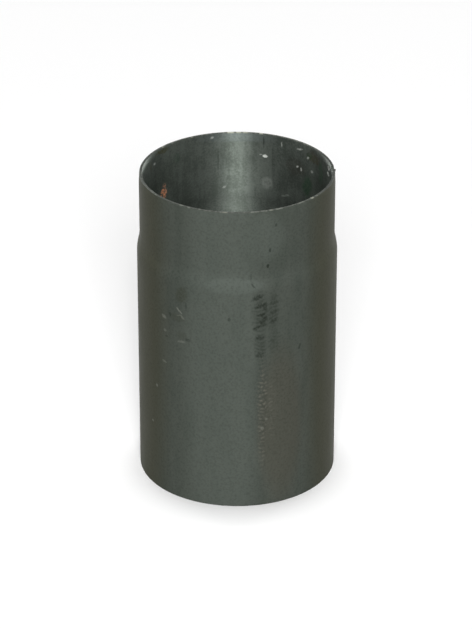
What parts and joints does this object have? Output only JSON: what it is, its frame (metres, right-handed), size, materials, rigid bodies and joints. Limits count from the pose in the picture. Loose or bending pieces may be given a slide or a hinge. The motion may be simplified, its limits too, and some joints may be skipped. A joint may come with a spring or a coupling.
{
  "type": "stove pipe",
  "caption": "Short steel stove pipe, open at both ends. Its upper end is swaged over a soft shoulder into a spigot that slides inside the next pipe.",
  "frame": {"origin": "middle of the lower end's face, on the pipe's axis", "axes": "+Z along the pipe, from the wide end up to the spigot; the weld seam is on the -Y side, a little towards +X"},
  "size_m": [0.154, 0.154, 0.25],
  "materials": {
    "painted_steel": "satin heat-resistant paint, dark grey-green"
  },
  "bodies": {
    "root": {"stove_pipe": "painted_steel"}
  },
  "joints": []
}
